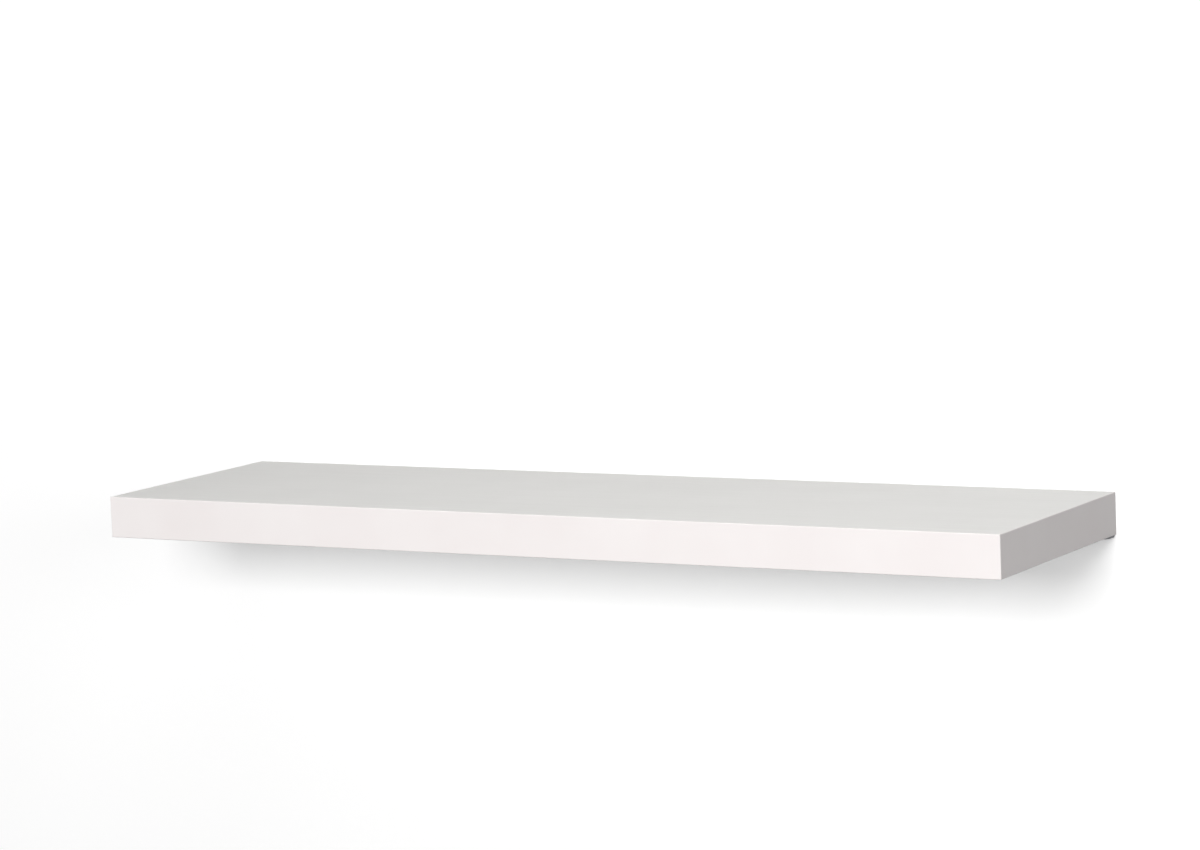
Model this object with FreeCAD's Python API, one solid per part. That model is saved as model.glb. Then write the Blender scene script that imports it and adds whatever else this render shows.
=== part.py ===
import FreeCAD, Part
import math
import os

# Floating wall shelf.
#
# A hollow-core board is pushed over three steel rods that stand out of an
# L-shaped rail screwed to the wall.  The rail is one folded sheet, kept as two
# solids that meet where the fold starts.  Two screws go up through notches in
# its lip and lock the board.  The board is a glued sandwich: foil-faced
# fibreboard panels on a frame of rails and bored rod blocks, with paper
# honeycomb in the bays between them and plastic band on the edges that show.
#
# Frame: X runs along the wall, Y points into the wall, Z is up.  The origin
# is on the rail's back face, halfway along it and halfway up the board.

# ---------------------------------------------------------------- dimensions
# Board
LENGTH = 900.0
DEPTH = 250.0
THICKNESS = 38.0
FOIL = 0.25            # printed decor foil, both faces
SKIN = 3.0             # foil and fibreboard panel together
BAND = 1.0             # plastic edge band
BAND_RADIUS = 0.8      # scraped edge of the band
WALL_GAP = 0.5         # rear edge of the top panel to the wall

# Frame inside the board
RAIL_WIDTH = 30.0      # front, back and end rails
BLOCK_WIDTH = 44.0     # the bored blocks that take the rods
HEAD_ROOM = 4.5        # behind the back rail, for the wall screws' heads
CELL = 24.0            # honeycomb, across the flats
PAPER = 0.4            # honeycomb wall
CORE_CLEARANCE = 0.5   # paper to the rails round it

# Wall rail, folded from sheet
SHEET = 2.0
LIP_DEPTH = 17.0
LIP_GAP = 0.1          # under the board
LIP_CORNER = 8.0       # rounded front corners of the lip
BEND_RADIUS = 1.0      # inside the fold
RAIL_CLEARANCE = 0.5   # leg to the top panel and to the end bands
LEG_CLEARANCE = 1.0    # front of the leg to the board

# Rods
ROD_SPACING = 300.0
ROD_COUNT = 3
ROD_RADIUS = 6.0
ROD_LENGTH = 180.0
ROD_LEAD = 2.0         # chamfer at the tip
SPIGOT_RADIUS = 4.0    # the end that goes through the rail
SPIGOT_INSET = 0.2     # from the rail's back face
SPIGOT_CLEARANCE = 0.05
WELD = 3.0             # leg of the weld at the foot
BORE_CLEARANCE = 0.3
BORE_SPARE = 5.0       # beyond the tip of the rod
BORE_LEAD = 2.0        # chamfer at the mouth

# Holes for the wall screws
ROUND_HOLE_X = 150.0
SLOT_X = 400.0
SCREW_HOLE_RADIUS = 3.0
SLOT_LENGTH = 12.0

# Lock screws
LOCK_X = 225.0
LOCK_Y = -12.5
LOCK_LENGTH = 16.0
THREAD_RADIUS = 1.75
CORE_RADIUS = 1.25
THREAD_PITCH = 1.4
LOCK_TIP = 3.0
PLAIN_SHANK = 3.0      # under the head, with no thread
TIP_RADIUS = 0.2
HEAD_RADIUS = 3.5
HEAD_HEIGHT = 2.4
HEAD_FLAT_RADIUS = 2.4 # where the head's rounding starts
HEAD_ROUNDING = 1.2    # height of the rounding
HEAD_STEPS = 6         # straight steps that make up the rounding
CROSS_WIDTH = 1.0
CROSS_LENGTH = 4.0
CROSS_DEPTH = 1.4
WASHER_RADIUS = 4.5
WASHER_BORE = 2.2
WASHER_THICKNESS = 1.0
WASHER_GAP = 0.1       # to the lip
NOTCH_RADIUS = 2.25
PANEL_HOLE_RADIUS = 2.0
PILOT_RADIUS = 1.8
PILOT_SPARE = 1.0

# Staples across the frame's joints
STAPLE_CROWN = 12.0
STAPLE_LEG = 12.0
STAPLE_WIRE = 1.2
STAPLE_OFFSET = 14.0   # from the middle of a rod block

# ------------------------------------------------------------ derived places
END = LENGTH / 2
TOP = THICKNESS / 2
FRAME_TOP = TOP - SKIN
FRONT = -DEPTH
REAR = -(SHEET + LEG_CLEARANCE)          # rear of all but the top and the end bands
PANEL_END = END - BAND
FRAME_FRONT = FRONT + BAND
FRONT_RAIL_BACK = FRAME_FRONT + RAIL_WIDTH
END_RAIL_INSIDE = PANEL_END - RAIL_WIDTH
BACK_RAIL_BACK = REAR - HEAD_ROOM
BACK_RAIL_FRONT = BACK_RAIL_BACK - RAIL_WIDTH
LIP_TOP = -TOP - LIP_GAP
LIP_BOTTOM = LIP_TOP - SHEET
FOLD_TOP = LIP_TOP + BEND_RADIUS         # where the leg meets the fold
WASHER_TOP = LIP_BOTTOM - WASHER_GAP
HEAD_TOP = WASHER_TOP - WASHER_THICKNESS
LOCK_TOP = HEAD_TOP + LOCK_LENGTH
ROD_TIP = -SHEET - ROD_LENGTH
BORE_END = ROD_TIP - BORE_SPARE
BORE_RADIUS = ROD_RADIUS + BORE_CLEARANCE

TOUCH = 1e-6           # two places closer than this are the same

ROD_XS = [ROD_SPACING * (i - (ROD_COUNT - 1) / 2) for i in range(ROD_COUNT)]
PLACES = ("left", "centre", "right")
BAYS = ("far_left", "near_left", "near_right", "far_right")
LOCK_XS = {"left": -LOCK_X, "right": LOCK_X}

X_AXIS = FreeCAD.Vector(1, 0, 0)
Y_AXIS = FreeCAD.Vector(0, 1, 0)
Z_AXIS = FreeCAD.Vector(0, 0, 1)


# ------------------------------------------------------------------- helpers
def point(x, y, z):
    return FreeCAD.Vector(x, y, z)


def block(xs, ys, zs):
    """A rectangular solid between a low and a high limit on each axis."""
    size = [high - low for low, high in (xs, ys, zs)]
    return Part.makeBox(*size, point(xs[0], ys[0], zs[0]))


def prism(outline, along):
    """A solid swept from a closed run of points."""
    wire = Part.makePolygon(outline + [outline[0]])
    return Part.Face(wire).extrude(along)


def turned(profile, base, axis):
    """A solid of revolution: profile is (distance along axis, radius) pairs."""
    ends = [(profile[0][0], 0.0), *profile, (profile[-1][0], 0.0)]
    corners = [point(radius, 0, along) for along, radius in ends]
    solid = Part.Face(Part.makePolygon(corners + [corners[0]])).revolve(
        point(0, 0, 0), Z_AXIS, 360
    )
    solid.Placement = FreeCAD.Placement(base, FreeCAD.Rotation(Z_AXIS, axis))
    return solid


def edges_along(solid, direction, keep):
    """The straight edges that run along a direction and pass the test keep(middle)."""
    found = []
    for edge in solid.Edges:
        span = edge.Vertexes[-1].Point - edge.Vertexes[0].Point
        straight = span.Length > 0 and span.cross(direction).Length < TOUCH * span.Length
        if straight and keep(edge.CenterOfMass):
            found.append(edge)
    return found


def same(a, b):
    return abs(a - b) < TOUCH


# ----------------------------------------------------------- the wall bracket
def wall_rail():
    """Sheet folded to an L, as two pieces: the leg, and the lip with the fold."""
    leg_top = FRAME_TOP - RAIL_CLEARANCE
    half = PANEL_END - RAIL_CLEARANCE
    leg = block((-half, half), (-SHEET, 0), (LIP_BOTTOM, leg_top))
    lip = block((-half, half), (-LIP_DEPTH, 0), (LIP_BOTTOM, LIP_TOP))
    rail = leg.fuse(lip).removeSplitter()
    outer = edges_along(rail, X_AXIS, lambda m: same(m.y, 0) and same(m.z, LIP_BOTTOM))
    rail = rail.makeFillet(BEND_RADIUS + SHEET, outer)
    inner = edges_along(rail, X_AXIS, lambda m: same(m.y, -SHEET) and same(m.z, LIP_TOP))
    rail = rail.makeFillet(BEND_RADIUS, inner)
    corners = edges_along(rail, Z_AXIS, lambda m: same(m.y, -LIP_DEPTH))
    rail = rail.makeFillet(LIP_CORNER, corners)
    tools = [hole_in_leg(x, SPIGOT_RADIUS + SPIGOT_CLEARANCE) for x in ROD_XS]
    tools += [hole_in_leg(x, SCREW_HOLE_RADIUS) for x in (-ROUND_HOLE_X, ROUND_HOLE_X)]
    tools += [slot_in_leg(x) for x in (-SLOT_X, SLOT_X)]
    tools += [lock_notch(x) for x in LOCK_XS.values()]
    rail = rail.cut(Part.makeCompound(tools))
    above = block((-END, END), (-LIP_DEPTH, 0), (FOLD_TOP, TOP))
    below = block((-END, END), (-LIP_DEPTH, 0), (LIP_BOTTOM, FOLD_TOP))
    return {"rail_leg": rail.common(above), "rail_lip": rail.common(below)}


def hole_in_leg(x, radius):
    return Part.makeCylinder(radius, 3 * SHEET, point(x, -2 * SHEET, 0), Y_AXIS)


def slot_in_leg(x):
    """A slot for a wall screw, long along the wall."""
    run = SLOT_LENGTH / 2 - SCREW_HOLE_RADIUS
    ends = [hole_in_leg(x + side, SCREW_HOLE_RADIUS) for side in (-run, run)]
    middle = block(
        (x - run, x + run),
        (-2 * SHEET, SHEET),
        (-SCREW_HOLE_RADIUS, SCREW_HOLE_RADIUS),
    )
    return middle.multiFuse(ends)


def lock_notch(x):
    """A notch from the lip's front edge, with a round end where the screw stands."""
    low = LIP_BOTTOM - SHEET
    round_end = Part.makeCylinder(NOTCH_RADIUS, 3 * SHEET, point(x, LOCK_Y, low), Z_AXIS)
    mouth = block(
        (x - NOTCH_RADIUS, x + NOTCH_RADIUS),
        (-LIP_DEPTH - SHEET, LOCK_Y),
        (low, low + 3 * SHEET),
    )
    return round_end.fuse(mouth)


def rod(x):
    """A steel rod with a spigot through the leg and a weld round its foot."""
    profile = [
        (SPIGOT_INSET, SPIGOT_RADIUS),
        (SHEET, SPIGOT_RADIUS),
        (SHEET, ROD_RADIUS + WELD),
        (SHEET + WELD, ROD_RADIUS),
        (SHEET + ROD_LENGTH - ROD_LEAD, ROD_RADIUS),
        (SHEET + ROD_LENGTH, ROD_RADIUS - ROD_LEAD),
    ]
    return turned(profile, point(x, 0, 0), -Y_AXIS)


# ------------------------------------------------------------------ the board
def skin(low, high, rear):
    """One layer of the sandwich, inside the edge bands."""
    return block((-PANEL_END, PANEL_END), (FRAME_FRONT, rear), (low, high))


def drilled_for_locks(layer):
    """The layer with a clearance hole for each lock screw."""
    drills = [
        Part.makeCylinder(PANEL_HOLE_RADIUS, 2 * SKIN, point(x, LOCK_Y, -TOP - SKIN), Z_AXIS)
        for x in LOCK_XS.values()
    ]
    return layer.cut(Part.makeCompound(drills))


def front_band():
    """Band over the whole front, with its outer edges scraped round."""
    band = block((-END, END), (FRONT, FRAME_FRONT), (-TOP, TOP))
    outer = edges_along(band, X_AXIS, lambda m: same(m.y, FRONT))
    outer += edges_along(band, Z_AXIS, lambda m: same(m.y, FRONT))
    return band.makeFillet(BAND_RADIUS, outer)


def end_band(side):
    """Band over one end (side is -1 or 1), which runs on to the wall beside the rail's leg."""
    xs = sorted((side * PANEL_END, side * END))
    band = block(xs, (FRAME_FRONT, -WALL_GAP), (-TOP, TOP))
    outer = edges_along(band, Y_AXIS, lambda m: same(abs(m.x), END))
    return band.makeFillet(BAND_RADIUS, outer)


def frame_bar(xs, ys):
    """A bar of the frame, as high as the space between the panels."""
    return block(xs, ys, (-FRAME_TOP, FRAME_TOP))


def rod_bore(x, mouth):
    """The hole that a rod slides in, with a chamfered mouth that opens to the rear."""
    profile = [
        (0, BORE_RADIUS + BORE_LEAD),
        (BORE_LEAD, BORE_RADIUS),
        (mouth - BORE_END, BORE_RADIUS),
    ]
    return turned(profile, point(x, mouth, 0), -Y_AXIS)


def lock_pilot(x):
    depth = LOCK_TOP + PILOT_SPARE + TOP
    return Part.makeCylinder(PILOT_RADIUS, depth, point(x, LOCK_Y, -TOP), Z_AXIS)


def frame_bars():
    """The rails and rod blocks by name, bored for the rods and the lock screws."""
    bars = {
        "front_rail": frame_bar((-PANEL_END, PANEL_END), (FRAME_FRONT, FRONT_RAIL_BACK)),
        "back_rail": frame_bar(
            (-END_RAIL_INSIDE, END_RAIL_INSIDE), (BACK_RAIL_FRONT, BACK_RAIL_BACK)
        ),
        "left_end_rail": frame_bar((-PANEL_END, -END_RAIL_INSIDE), (FRONT_RAIL_BACK, REAR)),
        "right_end_rail": frame_bar((END_RAIL_INSIDE, PANEL_END), (FRONT_RAIL_BACK, REAR)),
    }
    bores = [rod_bore(x, BACK_RAIL_BACK) for x in ROD_XS]
    pilots = [lock_pilot(x) for x in LOCK_XS.values()]
    bars["back_rail"] = bars["back_rail"].cut(Part.makeCompound(bores + pilots))
    for place, x in zip(PLACES, ROD_XS):
        half = BLOCK_WIDTH / 2
        bar = frame_bar((x - half, x + half), (FRONT_RAIL_BACK, BACK_RAIL_FRONT))
        bars["rod_block_" + place] = bar.cut(rod_bore(x, BACK_RAIL_BACK))
    return bars


def bays():
    """The low and high X of each space between the end rails and the rod blocks, from the left."""
    half = BLOCK_WIDTH / 2
    walls = [-END_RAIL_INSIDE]
    for x in ROD_XS:
        walls += [x - half, x + half]
    walls.append(END_RAIL_INSIDE)
    return list(zip(walls[0::2], walls[1::2]))


def honeycomb(xs):
    """Expanded paper that fills one bay: a slab cut through by six-sided cells."""
    xs = (xs[0] + CORE_CLEARANCE, xs[1] - CORE_CLEARANCE)
    ys = (FRONT_RAIL_BACK + CORE_CLEARANCE, BACK_RAIL_FRONT - CORE_CLEARANCE)
    slab = frame_bar(xs, ys)
    column = CELL * math.cos(math.pi / 6)
    corner = (CELL - PAPER) / 2 / math.cos(math.pi / 6)
    middle_x, middle_y = sum(xs) / 2, sum(ys) / 2
    columns = math.ceil((xs[1] - xs[0]) / column / 2) + 1
    rows = math.ceil((ys[1] - ys[0]) / CELL / 2) + 1
    cells = []
    for i in range(-columns, columns + 1):
        for j in range(-rows, rows + 1):
            x = middle_x + i * column
            y = middle_y + (j + (i % 2) / 2) * CELL
            hexagon = [
                point(
                    x + corner * math.cos(k * math.pi / 3),
                    y + corner * math.sin(k * math.pi / 3),
                    -TOP,
                )
                for k in range(6)
            ]
            cells.append(prism(hexagon, point(0, 0, THICKNESS)))
    paper = slab.cut(Part.makeCompound(cells))
    return max(paper.Solids, key=lambda solid: solid.Volume)


def staple(x, y, face, across):
    """One staple, crown flush with a face of the frame (-1 or 1) and lying along across."""
    half = STAPLE_WIRE / 2
    reach = STAPLE_CROWN / 2
    crown = block((-reach, reach), (-half, half), (-STAPLE_WIRE, 0))
    legs = [
        block((low, low + STAPLE_WIRE), (-half, half), (-STAPLE_LEG, 0))
        for low in (-reach, reach - STAPLE_WIRE)
    ]
    solid = crown.multiFuse(legs).removeSplitter()
    turn = FreeCAD.Rotation(Z_AXIS, 90) if across == Y_AXIS else FreeCAD.Rotation()
    if face < 0:
        turn = FreeCAD.Rotation(X_AXIS, 180).multiply(turn)
    solid.Placement = FreeCAD.Placement(point(x, y, face * FRAME_TOP), turn)
    return solid


def staples():
    """A staple across each joint of the frame, on both faces."""
    corner_x = END_RAIL_INSIDE + RAIL_WIDTH / 2
    back_y = (BACK_RAIL_FRONT + BACK_RAIL_BACK) / 2
    joints = []
    for side in (-1, 1):
        joints.append((side * corner_x, FRONT_RAIL_BACK, Y_AXIS))
        joints.append((side * END_RAIL_INSIDE, back_y, X_AXIS))
    for x in ROD_XS:
        joints.append((x - STAPLE_OFFSET, FRONT_RAIL_BACK, Y_AXIS))
        joints.append((x + STAPLE_OFFSET, BACK_RAIL_FRONT, Y_AXIS))
    return [staple(x, y, face, across) for x, y, across in joints for face in (-1, 1)]


# ------------------------------------------------------------ the lock screws
def lock_screw(x):
    """A pan-head screw that stands head down, with rings in place of its thread."""
    profile = []
    for step in range(HEAD_STEPS + 1):
        angle = step / HEAD_STEPS * math.pi / 2
        swell = (HEAD_RADIUS - HEAD_FLAT_RADIUS) * math.sin(angle)
        profile.append((HEAD_ROUNDING * (1 - math.cos(angle)), HEAD_FLAT_RADIUS + swell))
    profile += [
        (HEAD_HEIGHT, HEAD_RADIUS),
        (HEAD_HEIGHT, THREAD_RADIUS),
        (HEAD_HEIGHT + PLAIN_SHANK, THREAD_RADIUS),
    ]
    along = HEAD_HEIGHT + PLAIN_SHANK + THREAD_PITCH / 2
    end = HEAD_HEIGHT + LOCK_LENGTH - LOCK_TIP
    while along + THREAD_PITCH / 2 < end:
        profile.append((along, CORE_RADIUS))
        profile.append((along + THREAD_PITCH / 2, THREAD_RADIUS))
        along += THREAD_PITCH
    profile.append((end, CORE_RADIUS))
    profile.append((HEAD_HEIGHT + LOCK_LENGTH, TIP_RADIUS))
    low = HEAD_TOP - HEAD_HEIGHT
    screw = turned(profile, point(x, LOCK_Y, low), Z_AXIS)
    long, wide = CROSS_LENGTH / 2, CROSS_WIDTH / 2
    depth = (low - CROSS_DEPTH, low + CROSS_DEPTH)
    slot_x = block((x - long, x + long), (LOCK_Y - wide, LOCK_Y + wide), depth)
    slot_y = block((x - wide, x + wide), (LOCK_Y - long, LOCK_Y + long), depth)
    return screw.cut(slot_x.fuse(slot_y))


def lock_washer(x):
    base = point(x, LOCK_Y, HEAD_TOP)
    disc = Part.makeCylinder(WASHER_RADIUS, WASHER_THICKNESS, base, Z_AXIS)
    return disc.cut(Part.makeCylinder(WASHER_BORE, WASHER_THICKNESS, base, Z_AXIS))


# ------------------------------------------------------------------- assembly
def build():
    """Every piece by name."""
    pieces = wall_rail()
    for place, x in zip(PLACES, ROD_XS):
        pieces["rod_" + place] = rod(x)

    pieces["top_foil"] = skin(TOP - FOIL, TOP, -WALL_GAP)
    pieces["top_panel"] = skin(FRAME_TOP, TOP - FOIL, -WALL_GAP)
    pieces["bottom_panel"] = drilled_for_locks(skin(-TOP + FOIL, -FRAME_TOP, REAR))
    pieces["bottom_foil"] = drilled_for_locks(skin(-TOP, -TOP + FOIL, REAR))
    pieces["front_edge_band"] = front_band()
    pieces["left_edge_band"] = end_band(-1)
    pieces["right_edge_band"] = end_band(1)

    wires = staples()
    for name, bar in frame_bars().items():
        pieces[name] = bar.cut(Part.makeCompound(wires))
    pieces["frame_staples"] = Part.makeCompound(wires)
    for name, xs in zip(BAYS, bays()):
        pieces["honeycomb_" + name] = honeycomb(xs)

    for place, x in LOCK_XS.items():
        pieces["lock_screw_" + place] = lock_screw(x)
        pieces["lock_washer_" + place] = lock_washer(x)
    return pieces


os.makedirs("parts", exist_ok=True)
for name, shape in build().items():
    shape.exportStep(f"parts/{name}.step")
    print(f"{name}: {len(shape.Solids)} solid(s), {shape.Volume / 1000:.2f} cm3")
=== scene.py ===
# %% [markdown]
# # A floating wall shelf, dressed for close looks
# The shelf is a hollow board that slides over three rods on a steel wall rail. Its solids are already
# drawn at their real size, so this lesson only gives them their looks. Each piece that shows is built
# again here as a finer mesh, and each one that is mostly hidden keeps its solid and gets a finish.

# %% Load the solids
import math

import bmesh
import bpy
from mathutils import Matrix, Vector


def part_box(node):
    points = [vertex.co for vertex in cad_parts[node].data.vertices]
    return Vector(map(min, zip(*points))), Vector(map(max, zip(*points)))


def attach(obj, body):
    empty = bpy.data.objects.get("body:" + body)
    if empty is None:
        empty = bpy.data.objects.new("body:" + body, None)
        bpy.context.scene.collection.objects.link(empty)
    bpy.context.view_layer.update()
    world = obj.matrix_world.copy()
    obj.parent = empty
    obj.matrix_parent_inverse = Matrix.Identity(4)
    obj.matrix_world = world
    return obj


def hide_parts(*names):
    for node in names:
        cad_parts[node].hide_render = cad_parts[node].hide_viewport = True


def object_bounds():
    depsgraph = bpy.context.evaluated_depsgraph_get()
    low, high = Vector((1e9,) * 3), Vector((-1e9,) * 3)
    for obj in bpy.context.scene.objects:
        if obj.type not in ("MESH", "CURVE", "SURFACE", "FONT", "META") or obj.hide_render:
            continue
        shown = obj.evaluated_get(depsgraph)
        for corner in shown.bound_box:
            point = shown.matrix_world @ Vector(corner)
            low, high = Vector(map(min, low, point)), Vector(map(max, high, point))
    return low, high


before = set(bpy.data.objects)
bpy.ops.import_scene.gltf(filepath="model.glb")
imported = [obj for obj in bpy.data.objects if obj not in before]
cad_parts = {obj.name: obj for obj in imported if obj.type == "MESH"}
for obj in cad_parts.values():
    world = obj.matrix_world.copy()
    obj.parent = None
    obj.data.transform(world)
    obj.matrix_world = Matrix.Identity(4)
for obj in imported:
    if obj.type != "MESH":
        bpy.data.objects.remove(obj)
cad_low, cad_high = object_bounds()
scene = bpy.context.scene
print("solids:", len(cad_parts), "size in metres:", [round(v, 4) for v in cad_high - cad_low])

# %% [markdown]
# ## Measures
# Blender counts in metres, and a shelf is made in millimetres, so one constant turns one into the other.
# The main places are read from the solids. A piece that is built from them fits its neighbours without
# any nudging, and it goes on fitting when the solids change.

# %% Read the main places
MM = 0.001

band_low, band_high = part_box("front_edge_band")
foil_low, foil_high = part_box("top_foil")
underside_low, underside_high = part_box("bottom_foil")
leg_low, leg_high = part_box("rail_leg")
lip_low, lip_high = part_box("rail_lip")

END = band_high.x
FRONT = band_low.y
BAND_BACK = band_high.y
TOP = band_high.z
PANEL_END = foil_high.x
print("board:", round(2 * END / MM), "x", round(-FRONT / MM), "x", round(2 * TOP / MM), "mm")

# %% [markdown]
# ## Camera
# The camera stands to the right of the shelf and a little above it, nearly four metres off, with a long
# lens. A long lens from far away keeps the far edges nearly as long as the near ones. The turn, dip and
# roll are written as three plain rotations, so that each can be changed alone.

# %% Place the camera
CAMERA_PLACE = Vector((1.7531, -3.1854, 0.5143))
CAMERA_TURN = math.radians(29.715)
CAMERA_DIP = math.radians(6.991)
CAMERA_ROLL = math.radians(-2.313)
LENS = 118.49
SENSOR = 36.0

lens = bpy.data.cameras.new("camera")
lens.lens = LENS
lens.sensor_width = SENSOR
camera = bpy.data.objects.new("camera", lens)
scene.collection.objects.link(camera)
turned_left = Matrix.Rotation(CAMERA_TURN, 4, "Z")
dipped = Matrix.Rotation(math.pi / 2 - CAMERA_DIP, 4, "X")
rolled = Matrix.Rotation(CAMERA_ROLL, 4, "Z")
camera.matrix_world = Matrix.Translation(CAMERA_PLACE) @ turned_left @ dipped @ rolled
scene.camera = camera
print("camera:", round((CAMERA_PLACE - (cad_low + cad_high) / 2).length, 2), "m from the shelf")

# %% [markdown]
# ## Colour
# Colours are easiest to read as hex codes, which are in sRGB, the screen's own scale. Shaders count in
# linear light, so one function undoes the screen's curve. Standard view then puts it back unchanged.

# %% Turn hex colours into linear light
def linear(hex_code):
    """The linear RGBA of a six-digit sRGB code."""
    channels = []
    for start in (0, 2, 4):
        value = int(hex_code[start:start + 2], 16) / 255
        curved = ((value + 0.055) / 1.055) ** 2.4
        channels.append(curved if value > 0.04045 else value / 12.92)
    return (*channels, 1.0)


scene.view_settings.view_transform = "Standard"

# %% [markdown]
# ## Light
# One large soft box stands in front, a little to the right and above, and makes the soft shadow on the
# wall. It is wider than it is tall, so the shadow fades over a longer way at the shelf's ends than along
# its lower edge. A much weaker box far to the right thins the shadow towards that side. Both would
# bleach the satin top with their image for an eye behind the shelf, so reflections leave them out. A
# third box hangs over the shelf and lifts the top. A fourth stands behind and below, where it only
# reaches the back, the underside and the left end, which the others leave dark. A dim grey world fills
# the rest. A ray that goes straight to the eye or a gloss sees the world as white.

# %% Hang the soft boxes
def soft_box(name, place, target, width, height, power):
    """A rectangular lamp that faces a target, in metres and watts."""
    lamp = bpy.data.lights.new(name, "AREA")
    lamp.shape = "RECTANGLE"
    lamp.size = width
    lamp.size_y = height
    lamp.energy = power
    holder = bpy.data.objects.new(name, lamp)
    holder.location = place
    holder.rotation_euler = (Vector(target) - Vector(place)).to_track_quat("-Z", "Y").to_euler()
    scene.collection.objects.link(holder)
    return holder


SHELF_MIDDLE = (0.0, -0.125, 0.0)
front_box = soft_box("front_soft_box", (1.1, -5.25, 1.25), SHELF_MIDDLE, 1.8, 1.1, 229.0)
right_box = soft_box("right_soft_box", (3.8, -3.0, 1.0), SHELF_MIDDLE, 1.6, 1.2, 35.0)
for box in (front_box, right_box):
    box.visible_glossy = False
soft_box("overhead_soft_box", (0.6, -0.3, 2.0), SHELF_MIDDLE, 2.0, 1.2, 18.5)
soft_box("rear_soft_box", (-1.6, 2.2, -1.2), SHELF_MIDDLE, 1.8, 1.8, 50.0)

# %% [markdown]
# ## A helper for nodes
# Every material and the world are small graphs of nodes. This one function adds a node of any kind, sets
# what it is told to set, and joins its inputs to other nodes' outputs. A setting that the node has as a
# property is set there, and any other is an input, by its name or by its number.

# %% Add one node
def add(tree, kind, settings=None, links=None):
    node = tree.nodes.new(kind)
    for key, value in (settings or {}).items():
        if isinstance(key, str) and hasattr(node, key):
            setattr(node, key, value)
        else:
            node.inputs[key].default_value = value
    for key, socket in (links or {}).items():
        tree.links.new(socket, node.inputs[key])
    return node


def seen_directly(tree):
    """1 for a ray from the eye, a gloss or a glass, and 0 for one that carries soft light."""
    path = add(tree, "ShaderNodeLightPath")
    glossy = path.outputs["Is Glossy Ray"]
    glass = path.outputs["Is Transmission Ray"]
    either = add(tree, "ShaderNodeMath", {"operation": "MAXIMUM"}, {0: glossy, 1: glass})
    eye = path.outputs["Is Camera Ray"]
    links = {0: eye, 1: either.outputs[0]}
    return add(tree, "ShaderNodeMath", {"operation": "MAXIMUM"}, links).outputs[0]


# %% Fill the world
WORLD_FILL = 0.11

world = bpy.data.worlds.new("studio")
world.use_nodes = True
scene.world = world
world.node_tree.nodes.clear()
fill = add(world.node_tree, "ShaderNodeBackground", {"Strength": WORLD_FILL})
white = add(world.node_tree, "ShaderNodeBackground", {"Strength": 1.0})
for background in (fill, white):
    background.inputs["Color"].default_value = linear("FFFFFF")
mixed = add(
    world.node_tree,
    "ShaderNodeMixShader",
    links={0: seen_directly(world.node_tree), 1: fill.outputs[0], 2: white.outputs[0]},
)
add(world.node_tree, "ShaderNodeOutputWorld", links={"Surface": mixed.outputs[0]})
print("lights:", [light.name for light in bpy.data.lights], "world:", WORLD_FILL)

# %% [markdown]
# ## Wall and floor
# The stage is a white wall behind the shelf and a pale floor far below it. Each is a single sheet that
# shows from its front only, so that the shelf can also be looked at from behind and from below. They
# let soft light through for the same reason, and still take the shelf's own shadow. Some white is added
# for direct rays, so that the wall is white where nothing shades it. The floor gets more of it, because
# the lamps point at the shelf and little of their light comes down there. Further off than the shadow
# reaches, the added white grows to full, so the unlit ends of the sheets don't show as grey edges.

# %% Build the stage
WALL_GAP = 0.1 * MM
WALL_PAINT = "DBDBDB"
WALL_WHITE = 0.398
FLOOR_PAINT = "E6E6E4"
FLOOR_WHITE = 0.93
SHADED_WITHIN = 0.9
WHITE_BEYOND = 1.6
ROOM_HALF = 3.5
FLOOR_HEIGHT = -1.3
WALL_HEIGHT = 4.5


def one_sided(name, colour, added_white):
    """Matt paint that can only be seen from the front, with some white added for direct rays."""
    material = bpy.data.materials.new(name)
    material.use_nodes = True
    tree = material.node_tree
    tree.nodes.clear()
    paint = add(tree, "ShaderNodeBsdfDiffuse", {"Color": linear(colour)})
    glow = add(tree, "ShaderNodeEmission", {"Color": linear("FFFFFF")})
    place = add(tree, "ShaderNodeTexCoord").outputs["Object"]
    away = add(tree, "ShaderNodeVectorMath", {"operation": "LENGTH"}, {0: place}).outputs["Value"]
    settings = {1: SHADED_WITHIN, 2: WHITE_BEYOND, 3: added_white, 4: 1.0}
    whiteness = add(tree, "ShaderNodeMapRange", settings, {0: away}).outputs[0]
    links = {0: seen_directly(tree), 1: whiteness}
    strength = add(tree, "ShaderNodeMath", {"operation": "MULTIPLY"}, links).outputs[0]
    tree.links.new(strength, glow.inputs["Strength"])
    front = add(tree, "ShaderNodeAddShader", links={0: paint.outputs[0], 1: glow.outputs[0]})
    back = add(tree, "ShaderNodeBsdfTransparent")
    side = add(tree, "ShaderNodeNewGeometry").outputs["Backfacing"]
    surface = add(tree, "ShaderNodeMixShader", links={0: side, 1: front.outputs[0], 2: back.outputs[0]})
    add(tree, "ShaderNodeOutputMaterial", links={"Surface": surface.outputs[0]})
    return material


def stage_sheet(name, corners, material):
    mesh = bpy.data.meshes.new(name)
    mesh.from_pydata(corners, [], [(0, 1, 2, 3)])
    mesh.materials.append(material)
    sheet = bpy.data.objects.new(name, mesh)
    scene.collection.objects.link(sheet)
    sheet.visible_diffuse = False
    sheet.visible_shadow = False


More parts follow.
